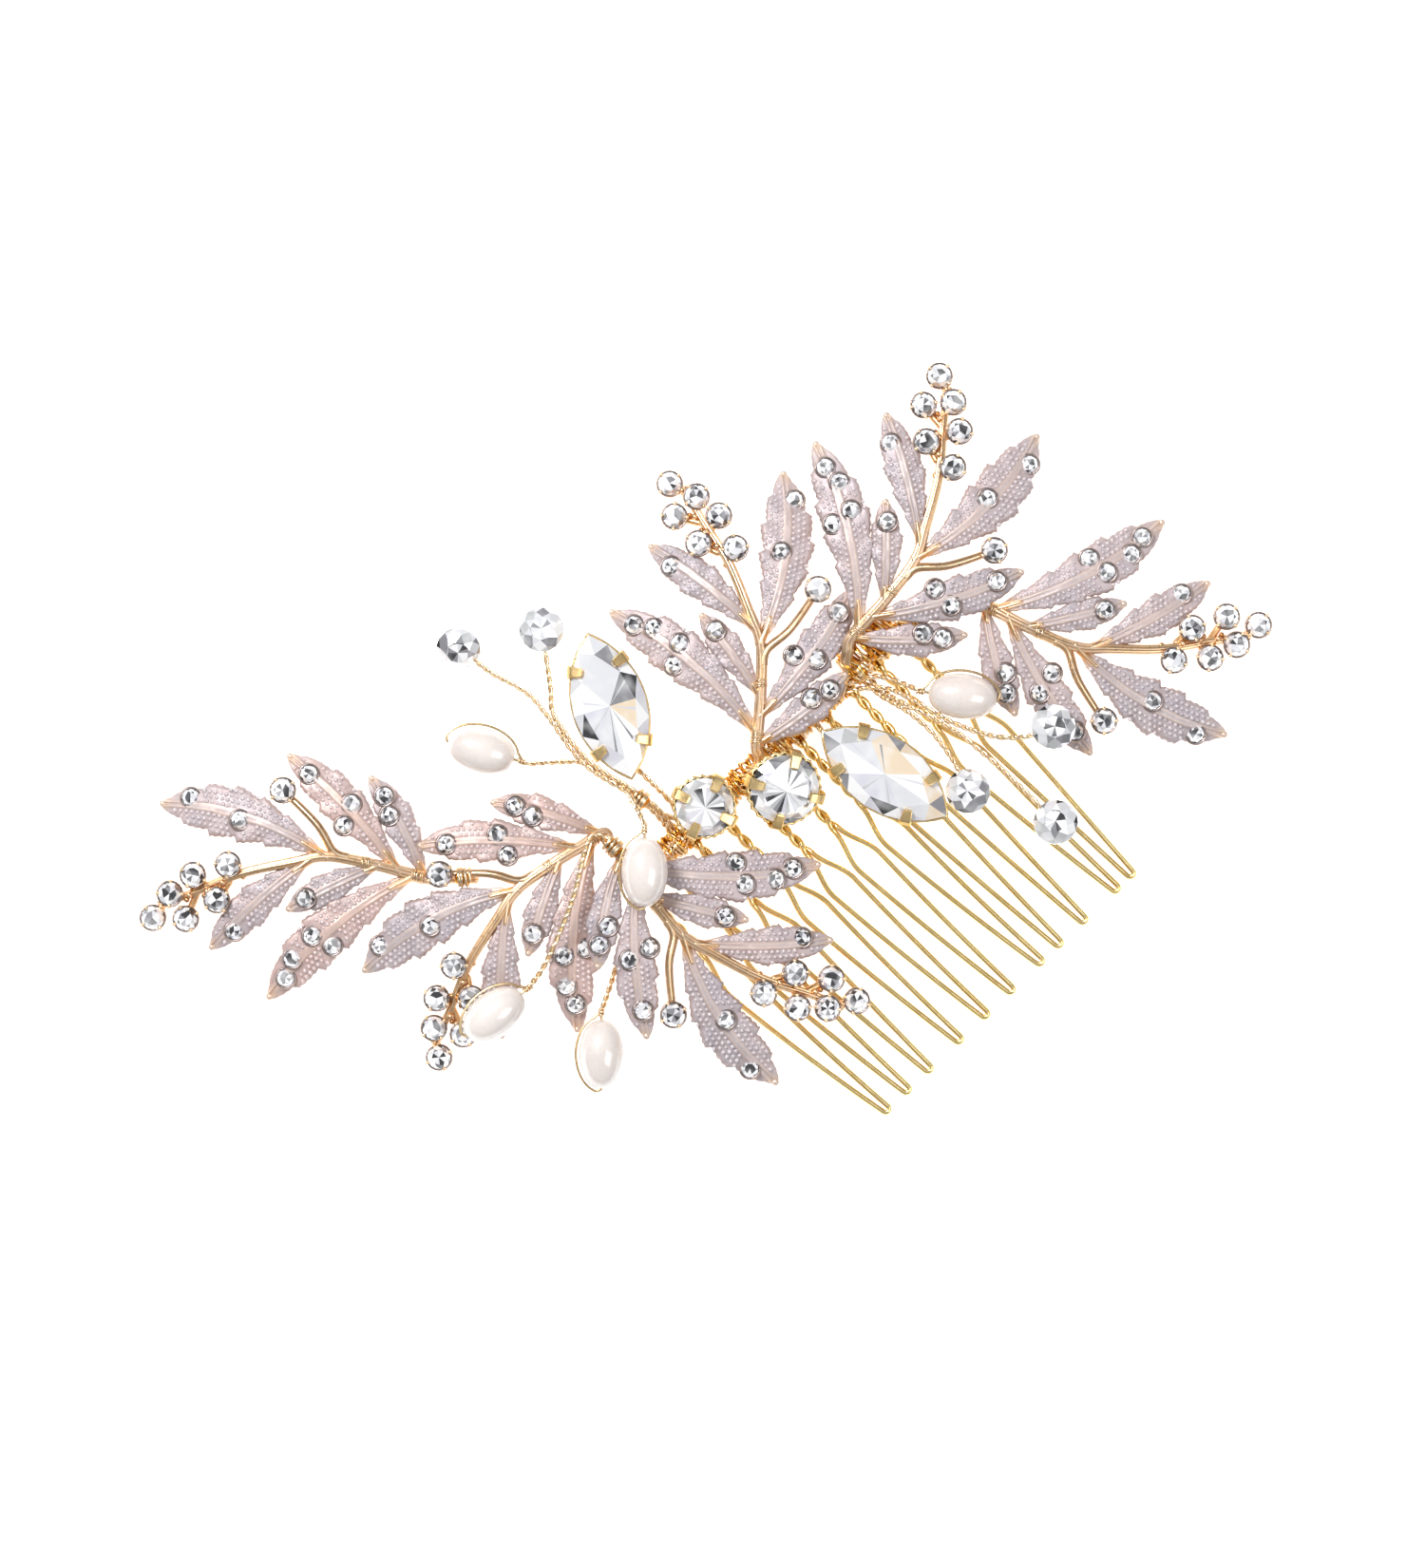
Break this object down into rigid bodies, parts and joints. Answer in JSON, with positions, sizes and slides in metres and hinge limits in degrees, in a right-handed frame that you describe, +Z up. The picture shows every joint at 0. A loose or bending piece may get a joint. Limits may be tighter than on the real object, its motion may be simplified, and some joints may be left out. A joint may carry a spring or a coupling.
{
  "type": "decorative hair comb",
  "caption": "Bridal hair comb: twisted-wire teeth on a spine rod, with wired-on enamelled leaf sprays, clear stones in claw settings, rice pearls and crystal beads.",
  "frame": {"origin": "middle of the bounding box's bottom face, which is the table that the comb lies on", "axes": "+X along the spine rod, towards the short end with the downward-turned spray; +Y from the teeth towards the decoration; +Z up from the table, out of the decorated face"},
  "size_m": [0.1388, 0.0984, 0.0167],
  "materials": {
    "comb_wire": "bright gold-plated wire",
    "fine_wire": "champagne-gold twisted and wound wire",
    "enamelled_casting": "pearly lilac-grey enamel over rose-gold cast metal, rose gold on the stems and cups",
    "small_rhinestone": "foil-backed clear round cut glass",
    "stone_setting": "polished pale gold plate",
    "clear_centre_stone": "foil-backed clear cut glass with large facets",
    "rice_pearl": "ivory nacre with a soft lustre",
    "crystal_bead": "clear grey faceted glass"
  },
  "bodies": {
    "comb": {"tooth_01": "comb_wire", "tooth_02": "comb_wire", "tooth_03": "comb_wire", "tooth_04": "comb_wire", "tooth_05": "comb_wire", "tooth_06": "comb_wire", "tooth_07": "comb_wire", "tooth_08": "comb_wire", "tooth_09": "comb_wire", "tooth_10": "comb_wire", "tooth_11": "comb_wire", "spine_rod": "comb_wire", "spine_bindings": "fine_wire", "stem_ties": "fine_wire", "spray_1_casting": "enamelled_casting", "spray_2_casting": "enamelled_casting", "spray_3_casting": "enamelled_casting", "spray_4_casting": "enamelled_casting", "spray_5_casting": "enamelled_casting", "spray_6_casting": "enamelled_casting", "spray_1_stones": "small_rhinestone", "spray_2_stones": "small_rhinestone", "spray_3_stones": "small_rhinestone", "spray_4_stones": "small_rhinestone", "spray_5_stones": "small_rhinestone", "spray_6_stones": "small_rhinestone", "marquise_1_setting": "stone_setting", "marquise_2_setting": "stone_setting", "marquise_1_stone": "clear_centre_stone", "marquise_2_stone": "clear_centre_stone", "round_1_setting": "stone_setting", "round_2_setting": "stone_setting", "round_1_stone": "clear_centre_stone", "round_2_stone": "clear_centre_stone", "pearl_1_wire": "fine_wire", "pearl_2_wire": "fine_wire", "pearl_3_wire": "fine_wire", "pearl_4_wire": "fine_wire", "pearl_5_wire": "fine_wire", "crystal_1": "crystal_bead", "crystal_2": "crystal_bead", "crystal_3": "crystal_bead", "crystal_4": "crystal_bead", "crystal_5": "crystal_bead", "crystal_1_wire": "fine_wire", "crystal_2_wire": "fine_wire", "crystal_3_wire": "fine_wire", "crystal_4_wire": "fine_wire", "crystal_5_wire": "fine_wire"},
    "pearl_1_bead": {"pearl_1": "rice_pearl"},
    "pearl_2_bead": {"pearl_2": "rice_pearl"},
    "pearl_3_bead": {"pearl_3": "rice_pearl"},
    "pearl_4_bead": {"pearl_4": "rice_pearl"},
    "pearl_5_bead": {"pearl_5": "rice_pearl"}
  },
  "joints": [
    {"name": "pearl_1_spin", "type": "hinge", "parent": "comb", "child": "pearl_1_bead", "pos_m": [-0.01982, 0.02418, 0.00648], "axis": [0.515, -0.8572, 0], "continuous": true},
    {"name": "pearl_2_spin", "type": "hinge", "parent": "comb", "child": "pearl_2_bead", "pos_m": [-0.01522, -0.00282, 0.01358], "axis": [0.6947, 0.7193, 0], "continuous": true},
    {"name": "pearl_3_spin", "type": "hinge", "parent": "comb", "child": "pearl_3_bead", "pos_m": [-0.04302, -0.00262, 0.01078], "axis": [0.9945, -0.1045, 0], "continuous": true},
    {"name": "pearl_4_spin", "type": "hinge", "parent": "comb", "child": "pearl_4_bead", "pos_m": [-0.03642, -0.01642, 0.00758], "axis": [0.6947, 0.7193, 0], "continuous": true},
    {"name": "pearl_5_spin", "type": "hinge", "parent": "comb", "child": "pearl_5_bead", "pos_m": [0.03188, -0.01542, 0.00698], "axis": [-0.6428, 0.766, 0], "continuous": true}
  ]
}
